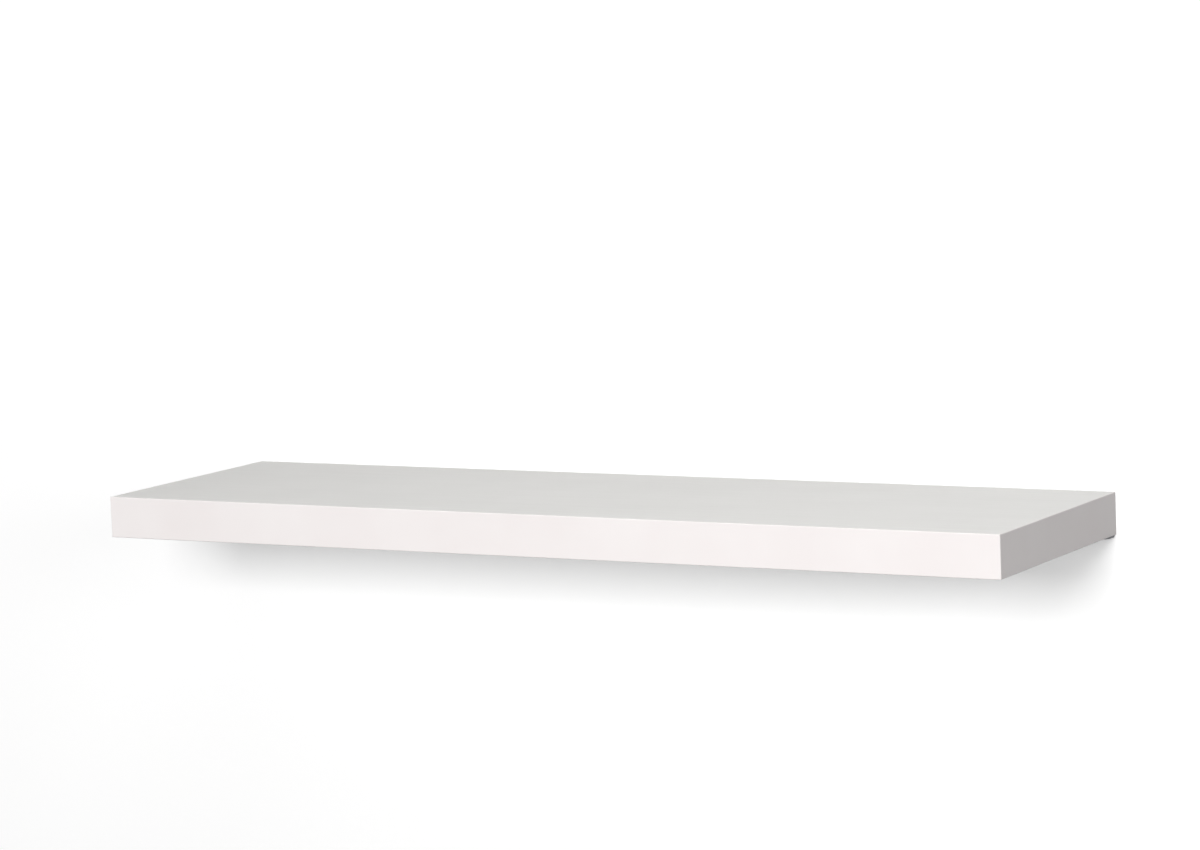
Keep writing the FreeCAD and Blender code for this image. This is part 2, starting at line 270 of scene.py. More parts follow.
wall_y = cad_high.y + WALL_GAP
wall_top = FLOOR_HEIGHT + WALL_HEIGHT
wall_corners = [
    (-ROOM_HALF, wall_y, FLOOR_HEIGHT),
    (ROOM_HALF, wall_y, FLOOR_HEIGHT),
    (ROOM_HALF, wall_y, wall_top),
    (-ROOM_HALF, wall_y, wall_top),
]
floor_corners = [
    (-ROOM_HALF, -2 * ROOM_HALF, FLOOR_HEIGHT),
    (ROOM_HALF, -2 * ROOM_HALF, FLOOR_HEIGHT),
    (ROOM_HALF, 2 * ROOM_HALF, FLOOR_HEIGHT),
    (-ROOM_HALF, 2 * ROOM_HALF, FLOOR_HEIGHT),
]
stage_sheet("wall", wall_corners, one_sided("matt_white_wall_paint", WALL_PAINT, WALL_WHITE))
stage_sheet("floor", floor_corners, one_sided("matt_pale_floor_paint", FLOOR_PAINT, FLOOR_WHITE))
print("stage: wall", round(WALL_GAP / MM, 2), "mm behind the rail, floor at", FLOOR_HEIGHT, "m")

# %% [markdown]
# ## Starting a material
# Every finish here is one Principled shader with patterns that feed its colour, its roughness and a
# bump. The patterns are placed by the object's own coordinates, which are metres in the shelf's frame.
# So a grain of one millimetre is a scale of one over 0.001, and it stays on the piece when that moves.
# A noise keeps nearly all its values between 0.3 and 0.7, and a Map Range node stretches them to the
# whole range. The last step of every finish is the same, so it is a function too.

# %% Start a material and its patterns
NOISE_LOW = 0.3
NOISE_HIGH = 0.7
FINE_DETAIL = 4.0


def start_material(name, roughness, ior=1.5, metallic=0.0):
    """A material with its shader and its place on the piece, ready for patterns."""
    material = bpy.data.materials.new(name)
    material.use_nodes = True
    tree = material.node_tree
    tree.nodes.clear()
    settings = {"Roughness": roughness, "IOR": ior, "Metallic": metallic}
    shader = add(tree, "ShaderNodeBsdfPrincipled", settings)
    add(tree, "ShaderNodeOutputMaterial", links={"Surface": shader.outputs[0]})
    place = add(tree, "ShaderNodeTexCoord").outputs["Object"]
    return material, tree, shader, place


def grain(tree, place, size, detail=2.0):
    """Noise from 0 to 1 with grains of a size in metres, or of three sizes along X, Y and Z."""
    sizes = size if isinstance(size, tuple) else (size, size, size)
    scales = tuple(1 / length for length in sizes)
    stretched = add(tree, "ShaderNodeMapping", {"Scale": scales}, {"Vector": place})
    settings = {"Scale": 1.0, "Detail": detail}
    return add(tree, "ShaderNodeTexNoise", settings, {"Vector": stretched.outputs[0]}).outputs[0]


def join_patterns(tree, shader, colour, height, depth, roughness=None):
    """Feeds the shader its colour, a relief as deep as depth and, where it varies, its roughness."""
    bump = add(tree, "ShaderNodeBump", {"Distance": depth}, {"Height": height})
    tree.links.new(colour, shader.inputs["Base Color"])
    tree.links.new(bump.outputs[0], shader.inputs["Normal"])
    if roughness is not None:
        tree.links.new(roughness, shader.inputs["Roughness"])


# %% [markdown]
# ## Printed foil
# The faces are printed paper foil with a satin lacquer, pressed onto the panels between rollers. To the
# eye it is a flat, soft white. Close up, the lacquer has a fine pearl, and the rollers leave very faint
# streaks along the board. Both are far weaker than on a painted wall, so the bump stays shallow. The
# real pearl is about a quarter of a millimetre, too fine to show, so it is drawn coarser.

# %% Make the foil
FOIL_WHITE = "F1F0ED"
FOIL_SHADE = "EEEDEA"
FOIL_ROUGHNESS = 0.5
FOIL_GLOSSIEST = 0.47
FOIL_DULLEST = 0.54
PEARL = 0.9 * MM
PEARL_DEPTH = 0.006 * MM
CLOUD = 70 * MM
STREAK = (160 * MM, 3 * MM, 3 * MM)


def satin_decor_foil():
    material, tree, shader, place = start_material("satin_lacquered_decor_foil", FOIL_ROUGHNESS)
    pearl = grain(tree, place, PEARL)
    cloud = grain(tree, place, CLOUD)
    streak = grain(tree, place, STREAK)
    both = add(tree, "ShaderNodeMath", {"operation": "MULTIPLY"}, {0: cloud, 1: streak}).outputs[0]
    share = add(tree, "ShaderNodeMapRange", {1: 0.12, 2: 0.4}, {0: both}).outputs[0]
    settings = {"data_type": "RGBA", 6: linear(FOIL_WHITE), 7: linear(FOIL_SHADE)}
    colour = add(tree, "ShaderNodeMix", settings, {0: share}).outputs[2]
    settings = {1: NOISE_LOW, 2: NOISE_HIGH, 3: FOIL_GLOSSIEST, 4: FOIL_DULLEST}
    roughness = add(tree, "ShaderNodeMapRange", settings, {0: streak}).outputs[0]
    join_patterns(tree, shader, colour, pearl, PEARL_DEPTH, roughness)
    return material


decor_foil = satin_decor_foil()
print("foil pearl:", PEARL / MM, "mm")

# %% [markdown]
# ## Edge band
# The edges are strips of white ABS, extruded, glued on hot and then scraped round. The plastic is a
# touch warmer and smoother than the foil. The scraper leaves fine lines along the rounded corners, drawn
# here twice as coarse as they are, and a hair of the warm-coloured glue shows beside the foil. The same
# recipe serves every band: only the direction of its length and the place of its glue line differ.

# %% Make the band
BAND_WHITE = "F4EFEE"
BAND_SHADE = "F1EBEA"
BAND_IOR = 1.54
BAND_ROUGHNESS = 0.42
SCRAPED_ROUGHNESS = 0.34
GLUE_TAN = "D8C9B0"
GLUE_WIDTH = 0.12 * MM
SCRAPED_FROM = TOP - 0.9 * MM
SCRAPED_FULL = TOP - 0.6 * MM
SCRAPE = 0.12 * MM
SCRAPE_LENGTH = 30 * MM
SCRAPE_DEPTH = 0.008 * MM
BAND_PEARL = 2 * PEARL
BAND_PEARL_SHARE = 0.4


def scraped_edge_band(name, long_axis, glue_axis, glue_from):
    """Band that is long on one axis, with its glue line where another axis is near glue_from."""
    material, tree, shader, place = start_material(name, BAND_ROUGHNESS, ior=BAND_IOR)
    axes = add(tree, "ShaderNodeSeparateXYZ", links={0: place})
    size = [SCRAPE, SCRAPE, SCRAPE]
    size[long_axis] = SCRAPE_LENGTH
    scrape = grain(tree, place, tuple(size))
    height = add(tree, "ShaderNodeMath", {"operation": "ABSOLUTE"}, {0: axes.outputs[2]}).outputs[0]
    settings = {1: SCRAPED_FROM, 2: SCRAPED_FULL}
    scraped = add(tree, "ShaderNodeMapRange", settings, {0: height}).outputs[0]
    marks = add(tree, "ShaderNodeMath", {"operation": "MULTIPLY"}, {0: scrape, 1: scraped}).outputs[0]
    pearl = grain(tree, place, BAND_PEARL)
    fine = add(tree, "ShaderNodeMapRange", {4: BAND_PEARL_SHARE}, {0: pearl}).outputs[0]
    surface = add(tree, "ShaderNodeMath", {"operation": "ADD"}, {0: marks, 1: fine}).outputs[0]

    beside = axes.outputs[glue_axis]
    across = add(tree, "ShaderNodeMath", {"operation": "ABSOLUTE"}, {0: beside}).outputs[0]
    settings = {1: abs(glue_from) + GLUE_WIDTH, 2: abs(glue_from) + GLUE_WIDTH / 2}
    glue = add(tree, "ShaderNodeMapRange", settings, {0: across}).outputs[0]
    settings = {1: NOISE_LOW, 2: NOISE_HIGH}
    cloud = add(tree, "ShaderNodeMapRange", settings, {0: grain(tree, place, CLOUD)}).outputs[0]
    settings = {"data_type": "RGBA", 6: linear(BAND_WHITE), 7: linear(BAND_SHADE)}
    plastic = add(tree, "ShaderNodeMix", settings, {0: cloud}).outputs[2]
    settings = {"data_type": "RGBA", 7: linear(GLUE_TAN)}
    colour = add(tree, "ShaderNodeMix", settings, {0: glue, 6: plastic}).outputs[2]
    settings = {3: BAND_ROUGHNESS, 4: SCRAPED_ROUGHNESS}
    roughness = add(tree, "ShaderNodeMapRange", settings, {0: scraped}).outputs[0]
    join_patterns(tree, shader, colour, surface, SCRAPE_DEPTH, roughness)
    return material


front_abs = scraped_edge_band("scraped_abs_band_front", 0, 1, BAND_BACK)
end_abs = scraped_edge_band("scraped_abs_band_ends", 1, 0, PANEL_END)
print("glue line:", GLUE_WIDTH / MM, "mm")

# %% [markdown]
# ## Fibreboard
# The panels are high-density fibreboard: wood cooked to fluff and pressed to a hard brown sheet. It has
# no grain, only a felt of short fibres with lighter and darker hairs, and its sawn edge is dull. The
# rear edge of each panel shows when the shelf is seen from behind. A real fibre is about 0.03 mm thick,
# too fine to show, so the hairs are drawn four times as thick.

# %% Make the fibreboard
HDF_BROWN = "A5835F"
HDF_DARK = "82644A"
HDF_ROUGHNESS = 0.82
HDF_HAIR = (0.6 * MM, 0.6 * MM, 0.12 * MM)
HDF_BLOTCH = 4 * MM
HDF_DEPTH = 0.04 * MM


def sawn_fibreboard():
    material, tree, shader, place = start_material("sawn_high_density_fibreboard", HDF_ROUGHNESS)
    hair = grain(tree, place, HDF_HAIR, FINE_DETAIL)
    blotch = grain(tree, place, HDF_BLOTCH)
    both = add(tree, "ShaderNodeMath", {"operation": "MULTIPLY"}, {0: hair, 1: blotch}).outputs[0]
    share = add(tree, "ShaderNodeMapRange", {1: 0.1, 2: 0.4}, {0: both}).outputs[0]
    settings = {"data_type": "RGBA", 6: linear(HDF_DARK), 7: linear(HDF_BROWN)}
    colour = add(tree, "ShaderNodeMix", settings, {0: share}).outputs[2]
    join_patterns(tree, shader, colour, hair, HDF_DEPTH)
    return material


fibreboard = sawn_fibreboard()
print("fibreboard hair:", HDF_HAIR[2] / MM, "mm thick")

# %% [markdown]
# ## Particleboard
# The frame inside is particleboard: flat chips of softwood, glued and pressed. Each chip keeps its own
# colour, from straw to tan, and lies flat in the board, so a sawn edge shows thin layers. A Voronoi
# pattern squeezed along Z gives such chips, each with a random shade. One layer would look like tiles,
# so splinters a third as long are mixed over the chips, and thin gaps open between the large ones,
# darkened by painted shade.
# A noise moves the pattern a little, so that the chips' edges are crooked, and a fine dust dulls them.

# %% Make the particleboard
CHIP = (3.6 * MM, 3.6 * MM, 0.75 * MM)
CHIP_ROUGHNESS = 0.85
CHIP_DEPTH = 0.12 * MM
CHIP_SHADES = ("8C6942", "BA976A", "D0B286", "DDC49B", "EBDAB8")
CHIP_BEND = 2.2 * MM
CHIP_BEND_LENGTH = 4 * MM
SPLINTER = (1.3 * MM, 1.3 * MM, 0.3 * MM)
SPLINTER_SHARE = 0.45
# Painted shade: this dark brown is painted into the gaps between chips and stands for the shade inside
# them.
GAP_PAINTED_SHADE = "765637"
GAP_REACH = 0.07
GAP_PAINTED_SHADE_SHARE = 0.55
DUST = 0.35 * MM
DUST_SHADE = "C9C0B4"
DUST_SHARE = 0.5
DUST_RELIEF = 0.4


def flakes(tree, place, size, feature):
    """A Voronoi pattern with flat cells of a size in metres."""
    scales = tuple(1 / length for length in size)
    squeezed = add(tree, "ShaderNodeMapping", {"Scale": scales}, {"Vector": place})
    settings = {"feature": feature, "Scale": 1.0}
    return add(tree, "ShaderNodeTexVoronoi", settings, {"Vector": squeezed.outputs[0]})


def chip_shades(tree, place):
    """The chips' and splinters' mixed colours, from the ramp of shades."""
    shades = []
    for size in (CHIP, SPLINTER):
        cells = flakes(tree, place, size, "F1").outputs["Color"]
        shades.append(add(tree, "ShaderNodeSeparateColor", links={0: cells}).outputs[0])
    mixed = add(tree, "ShaderNodeMix", {0: SPLINTER_SHARE}, {2: shades[0], 3: shades[1]}).outputs[0]
    spread = add(tree, "ShaderNodeMapRange", {1: 0.12, 2: 0.88}, {0: mixed}).outputs[0]
    ramp = add(tree, "ShaderNodeValToRGB", links={0: spread})
    stops = ramp.color_ramp.elements
    while len(stops) < len(CHIP_SHADES):
        stops.new(0.5)
    for index, (stop, code) in enumerate(zip(stops, CHIP_SHADES)):
        stop.position = index / (len(CHIP_SHADES) - 1)
        stop.color = linear(code)
    return ramp.outputs[0]


def pressed_chips():
    material, tree, shader, place = start_material("sawn_particleboard_chips", CHIP_ROUGHNESS)
    settings = {"Scale": 1 / CHIP_BEND_LENGTH, "Detail": FINE_DETAIL}
    drift = add(tree, "ShaderNodeTexNoise", settings, {"Vector": place}).outputs["Color"]
    settings = {"operation": "MULTIPLY_ADD", 1: (CHIP_BEND, CHIP_BEND, CHIP_BEND)}
    bent = add(tree, "ShaderNodeVectorMath", settings, {0: drift, 2: place}).outputs[0]
    shades = chip_shades(tree, bent)
    to_edge = flakes(tree, bent, CHIP, "DISTANCE_TO_EDGE").outputs["Distance"]
    # Painted shade: near a chip's edge the colour is darkened, standing for the shade in the void
    # between chips.
    settings = {1: GAP_REACH, 2: 0.0, 4: GAP_PAINTED_SHADE_SHARE}
    gap_painted_shade = add(tree, "ShaderNodeMapRange", settings, {0: to_edge}).outputs[0]
    settings = {"data_type": "RGBA", 7: linear(GAP_PAINTED_SHADE)}
    chips = add(tree, "ShaderNodeMix", settings, {0: gap_painted_shade, 6: shades}).outputs[2]

    dust = grain(tree, place, DUST, FINE_DETAIL)
    share = add(tree, "ShaderNodeMapRange", {1: NOISE_LOW, 2: NOISE_HIGH}, {0: dust}).outputs[0]
    settings = {"data_type": "RGBA", 6: linear(DUST_SHADE), 7: linear("FFFFFF")}
    veil = add(tree, "ShaderNodeMix", settings, {0: share}).outputs[2]
    settings = {"data_type": "RGBA", "blend_type": "MULTIPLY", 0: DUST_SHARE}
    colour = add(tree, "ShaderNodeMix", settings, {6: chips, 7: veil}).outputs[2]
    settings = {"operation": "MULTIPLY_ADD", 1: DUST_RELIEF}
    rough = add(tree, "ShaderNodeMath", settings, {0: dust, 2: to_edge}).outputs[0]
    join_patterns(tree, shader, colour, rough, CHIP_DEPTH)
    return material


particleboard = pressed_chips()
print("chips:", round(CHIP[0] / MM, 1), "mm long and", round(CHIP[2] / MM, 2), "mm thick")

# %% [markdown]
# ## Kraft paper
# The bays are filled with honeycomb of brown kraft paper, which holds the two panels apart and weighs
# almost nothing. Kraft is dull and a little hairy, with long pale fibres. It is hidden once the shelf is
# glued, so a simple felt of noise is enough. A real fibre is about 0.03 mm thick, too fine to show, so
# the fibres are drawn ten times as thick.

# %% Make the paper
KRAFT = "B48A5C"
KRAFT_DARK = "8F6A42"
KRAFT_ROUGHNESS = 0.9
KRAFT_FIBRE = (2.5 * MM, 2.5 * MM, 0.3 * MM)
KRAFT_DEPTH = 0.03 * MM


def kraft_paper():
    material, tree, shader, place = start_material("brown_kraft_paper", KRAFT_ROUGHNESS)
    fibre = grain(tree, place, KRAFT_FIBRE, FINE_DETAIL)
    share = add(tree, "ShaderNodeMapRange", {1: NOISE_LOW, 2: NOISE_HIGH}, {0: fibre}).outputs[0]
    settings = {"data_type": "RGBA", 6: linear(KRAFT_DARK), 7: linear(KRAFT)}
    colour = add(tree, "ShaderNodeMix", settings, {0: share}).outputs[2]
    join_patterns(tree, shader, colour, fibre, KRAFT_DEPTH)
    return material


kraft = kraft_paper()
print("kraft fibre:", round(KRAFT_FIBRE[2] / MM, 2), "mm thick")

# %% [markdown]
# ## Powder coat
# The rail and rods are mild steel, welded and then powder coated in a plain mid grey. The powder melts
# into a skin with a fine orange peel, which breaks up a highlight into small specks. That skin is what
# the eye sees, so the shader is a grey dielectric and not a metal. The powder's own grains are about
# 0.05 mm, too fine to show, so its paler specks are drawn five times as coarse.

# %% Make the powder coat
COAT_GREY = "88898B"
COAT_PALE = "969799"
COAT_ROUGHNESS = 0.45
COAT_GLOSSIEST = 0.4
COAT_DULLEST = 0.52
PEEL = 1.1 * MM
PEEL_DEPTH = 0.03 * MM
SPECK = 0.25 * MM


def powder_coat():
    material, tree, shader, place = start_material("grey_powder_coated_steel", COAT_ROUGHNESS)
    peel = grain(tree, place, PEEL)
    speck = grain(tree, place, SPECK)
    share = add(tree, "ShaderNodeMapRange", {1: 0.45, 2: 0.7}, {0: speck}).outputs[0]
    settings = {"data_type": "RGBA", 6: linear(COAT_GREY), 7: linear(COAT_PALE)}
    colour = add(tree, "ShaderNodeMix", settings, {0: share}).outputs[2]
    settings = {1: NOISE_LOW, 2: NOISE_HIGH, 3: COAT_GLOSSIEST, 4: COAT_DULLEST}
    roughness = add(tree, "ShaderNodeMapRange", settings, {0: peel}).outputs[0]
    join_patterns(tree, shader, colour, peel, PEEL_DEPTH, roughness)
    return material


grey_coat = powder_coat()
print("orange peel:", round(PEEL / MM, 2), "mm")

# %% [markdown]
# ## Zinc plate
# Screws, washers and staples are steel with bright zinc plate and a clear blue passivation. Zinc is a
# metal, so its colour tints its own reflections, and its IOR stays at the shader's default. Drawn wire
# and rolled threads leave faint marks, and the passivation drifts between cool and warm. The marks are
# about 0.02 mm wide on real parts, and are drawn five times as wide so that they show.

# %% Make the zinc plate
ZINC_COOL = "C3CAD2"
ZINC_WARM = "D0CDC2"
ZINC_ROUGHNESS = 0.3
ZINC_GLOSSIEST = 0.22
ZINC_DULLEST = 0.4
ZINC_DRIFT = 2.5 * MM
MARK = (0.1 * MM, 0.1 * MM, 0.6 * MM)
MARK_DEPTH = 0.006 * MM


def zinc_plate():
    name = "bright_zinc_plated_steel"
    material, tree, shader, place = start_material(name, ZINC_ROUGHNESS, metallic=1.0)
    drift = grain(tree, place, ZINC_DRIFT)
    share = add(tree, "ShaderNodeMapRange", {1: 0.35, 2: 0.65}, {0: drift}).outputs[0]
    settings = {"data_type": "RGBA", 6: linear(ZINC_COOL), 7: linear(ZINC_WARM)}
    colour = add(tree, "ShaderNodeMix", settings, {0: share}).outputs[2]
    mark = grain(tree, place, MARK)
    settings = {1: 0.2, 2: 0.8, 3: ZINC_GLOSSIEST, 4: ZINC_DULLEST}
    roughness = add(tree, "ShaderNodeMapRange", settings, {0: mark}).outputs[0]
    join_patterns(tree, shader, colour, mark, MARK_DEPTH, roughness)
    return material


zinc = zinc_plate()
print("materials:", len(bpy.data.materials))

# %% [markdown]
# ## Mesh helpers
# Real things have no knife edges, and the thin bright line along a rounded edge is what makes a render
# look solid. So each piece starts as a simple closed mesh, and its edges are then rounded or eased by
# bmesh's bevel. Weighted normals keep the large flat faces flat beside their small roundings. Round
# pieces are rings of vertices with faces between them, and a washer's rings close into a circle.

# %% Build simple solids
def prism(outline, along):
    """A solid swept from a closed run of points."""
    mesh = bmesh.new()
    base = mesh.faces.new([mesh.verts.new(corner) for corner in outline])
    swept = bmesh.ops.extrude_face_region(mesh, geom=[base])
    moved = [item for item in swept["geom"] if isinstance(item, bmesh.types.BMVert)]
    bmesh.ops.translate(mesh, verts=moved, vec=along)
    bmesh.ops.recalc_face_normals(mesh, faces=mesh.faces)
    return mesh


def block(low, high):
    """A rectangular solid between two corners."""
    outline = [
        (low[0], low[1], low[2]),
        (high[0], low[1], low[2]),
        (high[0], high[1], low[2]),
        (low[0], high[1], low[2]),
    ]
    return prism(outline, (0, 0, high[2] - low[2]))


def skin_rings(mesh, rings):
    """Joins one ring of vertices to the next by faces, and closes both ends."""
    for lower, upper in zip(rings, rings[1:]):
        for index in range(len(lower)):
            after = (index + 1) % len(lower)
            mesh.faces.new((lower[index], lower[after], upper[after], upper[index]))
    mesh.faces.new(rings[0])
    mesh.faces.new(rings[-1])
    bmesh.ops.recalc_face_normals(mesh, faces=mesh.faces)
    return mesh


def skin_circle(mesh, sections):
    """Joins each section to the next by faces, and the last one to the first."""
    for index, outline in enumerate(sections):
        after = sections[(index + 1) % len(sections)]
        for corner in range(len(outline)):
            beyond = (corner + 1) % len(outline)
            mesh.faces.new((outline[corner], outline[beyond], after[beyond], after[corner]))
    return mesh


def turned(profile, base, axis, sides=48):
    """A solid of revolution: profile is (distance along the axis, radius) pairs."""
    mesh = bmesh.new()
    turn = axis.to_track_quat("Z", "Y")
    rings = []
    for along, radius in profile:
        ring = []
        for side in range(sides):
            angle = 2 * math.pi * side / sides
            local = Vector((radius * math.cos(angle), radius * math.sin(angle), along))
            ring.append(mesh.verts.new(base + turn @ local))
        rings.append(ring)
    return skin_rings(mesh, rings)


# %% Round and ease edges
SHARP = math.radians(30)
EASE_CUTS = 2
ROUND_PROFILE = 0.5


def cut_bevel(mesh, edges, width, cuts):
    bmesh.ops.bevel(
        mesh,
        geom=edges,
        offset=width,
        segments=cuts,
        profile=ROUND_PROFILE,
        affect="EDGES",
        clamp_overlap=True,
    )
    return mesh


def round_edges(mesh, radius, cuts, chosen):
    """Rounds the edges for which chosen(middle, direction) is true."""
    picked = []
    for edge in mesh.edges:
        first, second = (vert.co for vert in edge.verts)
        if chosen((first + second) / 2, (second - first).normalized()):
            picked.append(edge)
    return cut_bevel(mesh, picked, radius, cuts)


def ease_edges(mesh, width):
    """Takes the knife edge off everything that is still sharp."""
    picked = [edge for edge in mesh.edges if edge.is_manifold and edge.calc_face_angle() > SHARP]
    return cut_bevel(mesh, picked, width, EASE_CUTS)


# %% Drill and cut
SAME_PLACE = 0.001 * MM


def loose_object(mesh, name):
    data = bpy.data.meshes.new(name)
    mesh.to_mesh(data)
    mesh.free()
    holder = bpy.data.objects.new(name, data)
    scene.collection.objects.link(holder)
    return holder


def cut_away(mesh, tool):
    """The mesh with the tool's shape taken out of it."""
    body = loose_object(mesh, "workpiece")
    cutter = loose_object(tool, "cutter")
    boolean = body.modifiers.new("cut", "BOOLEAN")
    boolean.object = cutter
    boolean.operation = "DIFFERENCE"
    boolean.solver = "EXACT"
    result = bmesh.new()
    result.from_object(body, bpy.context.evaluated_depsgraph_get())
    for spent in (body, cutter):
        data = spent.data
        bpy.data.objects.remove(spent)
        bpy.data.meshes.remove(data)
    bmesh.ops.remove_doubles(result, verts=result.verts, dist=SAME_PLACE)
    bmesh.ops.dissolve_degenerate(result, edges=result.edges, dist=SAME_PLACE)
    return result


# %% Hand over a finished piece
def finish_piece(mesh, name, material, body, slot, *nodes):
    """Makes the mesh a shown piece that rides on a body and stands for CAD nodes."""
    bmesh.ops.recalc_face_normals(mesh, faces=mesh.faces)
    piece = loose_object(mesh, name)
    for polygon in piece.data.polygons:
        polygon.use_smooth = True
    piece.data.set_sharp_from_angle(angle=SHARP)
    piece.data.materials.append(material)
    weighted = piece.modifiers.new("weighted_normals", "WEIGHTED_NORMAL")
    weighted.keep_sharp = True
    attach(piece, body)
    if nodes:
        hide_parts(*nodes)
    print("made", name, "with", len(piece.data.polygons), "faces")


# %% [markdown]
# ## Foils
# A foil is only a quarter of a millimetre thick, so it could be paint. It is built as a sheet because
# the trimmed edge beside the band is real: the two meet in a hairline groove that catches the light.
# The lower foil also has a clean hole for each lock screw.

# %% Lay the foils
TRIM = 0.07 * MM
SCREW_HOLE = 2.0 * MM


def washer_middle(side):
    low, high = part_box("lock_washer_" + side)
    return (low + high) / 2


def hole_for_screw(side, low, high):
    """A round cutter at a lock screw, from a low to a high Z."""
    place = washer_middle(side)
    base = Vector((place.x, place.y, low))
    return turned([(0.0, SCREW_HOLE), (high - low, SCREW_HOLE)], base, Vector((0, 0, 1)))


top_sheet = ease_edges(block(foil_low, foil_high), TRIM)
finish_piece(top_sheet, "foil_on_top", decor_foil, "board", "white_foil", "top_foil")

under_sheet = block(underside_low, underside_high)
for side in ("left", "right"):
    tool = hole_for_screw(side, underside_low.z - MM, underside_high.z + MM)
    under_sheet = cut_away(under_sheet, tool)
ease_edges(under_sheet, TRIM)
finish_piece(under_sheet, "foil_underneath", decor_foil, "board", "white_foil", "bottom_foil")

# %% [markdown]
# ## Edge bands
# A band is a flat strip, so a box with rounded edges is the whole shape. Only the edges that the
# scraper reaches are rounded, at just under the band's thickness, and the others keep a hair's ease.
# The end bands run on past the frame to the wall, so they hide the ends of the rail's leg.

# %% Glue on the bands
SCRAPED_RADIUS = 0.8 * MM
SCRAPED_CUTS = 6


def near(value, target):
    return abs(value - target) < SAME_PLACE


def on_front(middle, way):
    """The four edges round the front band's face."""
    return near(middle.y, FRONT) and abs(way.y) < 0.5


def along_end(middle, way):
    """The two long edges of an end band's face."""
    return near(abs(middle.x), END) and abs(way.y) > 0.5


for place, plastic, scraped in (
    ("front", front_abs, on_front),
    ("left", end_abs, along_end),
    ("right", end_abs, along_end),
):
    node = place + "_edge_band"
    strip = round_edges(block(*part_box(node)), SCRAPED_RADIUS, SCRAPED_CUTS, scraped)
    ease_edges(strip, TRIM)
    finish_piece(strip, place + "_band", plastic, "board", "white_edge_band", node)

# %% [markdown]
# ## The folded rail
# The rail is cut flat from sheet, and then folded in a press. It is made the same way here: a flat
# blank is drilled while it is easy to drill, its rims are eased, and last its lower part is bent round
# the fold. A blank that was modelled folded would need every hole placed on a turned face.

# %% Cut the blank
SHEET = leg_high.y - leg_low.y
FOLD_INSIDE = lip_high.z - (lip_low.z + SHEET)
FOLD_Y = leg_low.y - FOLD_INSIDE
FOLD_Z = lip_high.z
FOLD_LENGTH = (FOLD_INSIDE + SHEET / 2) * math.pi / 2
LIP_CORNER = 8 * MM
CORNER_CUTS = 10
SPIGOT_HOLE = 4.05 * MM
WALL_HOLE = 3.0 * MM
WALL_SLOT = 12.0 * MM
ROUND_HOLE_X = 150 * MM
SLOT_X = 400 * MM
NOTCH = 2.25 * MM
NOTCH_STEPS = 16
DRILL_STEPS = 40
TOOL_START = -2 * SHEET
TOOL_LENGTH = 3 * SHEET
COAT_EDGE = 0.3 * MM


def unfolded(y):
    """The Z on the flat blank of a place on the lip."""
    return FOLD_Z - FOLD_LENGTH - (FOLD_Y - y)


def on_lip_corner(middle, way):
    """The two short edges through the sheet at the lip's corners."""
    return near(middle.z, unfolded(lip_low.y)) and abs(way.y) > 0.5


def round_drill(x, z, radius, run=0.0):
    """A drill through the sheet, lengthened along X by run to each side for a slot."""
    corners = []
    for step in range(DRILL_STEPS):
        angle = 2 * math.pi * step / DRILL_STEPS
        shift = run if math.cos(angle) > 0 else -run
        corners.append((x + shift + radius * math.cos(angle), TOOL_START, z + radius * math.sin(angle)))
    return prism(corners, (0, TOOL_LENGTH, 0))


def notch_tool(x, z):
    """A U open downwards, with its round end where the lock screw stands."""
    past_the_edge = z - LIP_CORNER * 2
    corners = [(x + NOTCH, TOOL_START, past_the_edge), (x - NOTCH, TOOL_START, past_the_edge)]
    for step in range(NOTCH_STEPS + 1):
        angle = math.pi - math.pi * step / NOTCH_STEPS
        corners.append((x + NOTCH * math.cos(angle), TOOL_START, z + NOTCH * math.sin(angle)))
    return prism(corners, (0, TOOL_LENGTH, 0))


rod_xs = []
for place in ("left", "centre", "right"):
    low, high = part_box("rod_" + place)
    rod_xs.append((low.x + high.x) / 2)
blank = block((lip_low.x, -SHEET, unfolded(lip_low.y)), (lip_high.x, 0.0, leg_high.z))
round_edges(blank, LIP_CORNER, CORNER_CUTS, on_lip_corner)
tools = [round_drill(x, 0.0, SPIGOT_HOLE) for x in rod_xs]
tools += [round_drill(side * ROUND_HOLE_X, 0.0, WALL_HOLE) for side in (-1, 1)]
tools += [round_drill(side * SLOT_X, 0.0, WALL_HOLE, WALL_SLOT / 2 - WALL_HOLE) for side in (-1, 1)]
for side in ("left", "right"):
    place = washer_middle(side)
    tools.append(notch_tool(place.x, unfolded(place.y)))
for tool in tools:
    blank = cut_away(blank, tool)
ease_edges(blank, COAT_EDGE)
print("blank:", round((leg_high.z - unfolded(lip_low.y)) / MM, 1), "mm wide before folding")

# %% Fold it
FOLD_CUTS = 10

for cut in range(FOLD_CUTS + 1):
    height = FOLD_Z - FOLD_LENGTH * cut / FOLD_CUTS
    everything = blank.verts[:] + blank.edges[:] + blank.faces[:]
    bmesh.ops.bisect_plane(blank, geom=everything, plane_co=(0, 0, height), plane_no=(0, 0, 1))
for vert in blank.verts:
    below = FOLD_Z - vert.co.z
    if below > 0:
        radius = vert.co.y - FOLD_Y
        angle = min(below / FOLD_LENGTH, 1.0) * math.pi / 2
        beyond = max(below - FOLD_LENGTH, 0.0)
        vert.co.y = FOLD_Y + radius * math.cos(angle) - beyond
        vert.co.z = FOLD_Z - radius * math.sin(angle)
finish_piece(blank, "folded_rail", grey_coat, "bracket", "powder_coated_steel", "rail_leg", "rail_lip")

# %% [markdown]
# ## Rods and their welds
# A rod is turned on a lathe, so it is a profile spun round its axis. Its foot is welded to the rail by
# hand: the bead is a small fillet with the ripples of a torch that stops and goes on. The ripples are
# modelled, because they would still show if the coat were another colour.

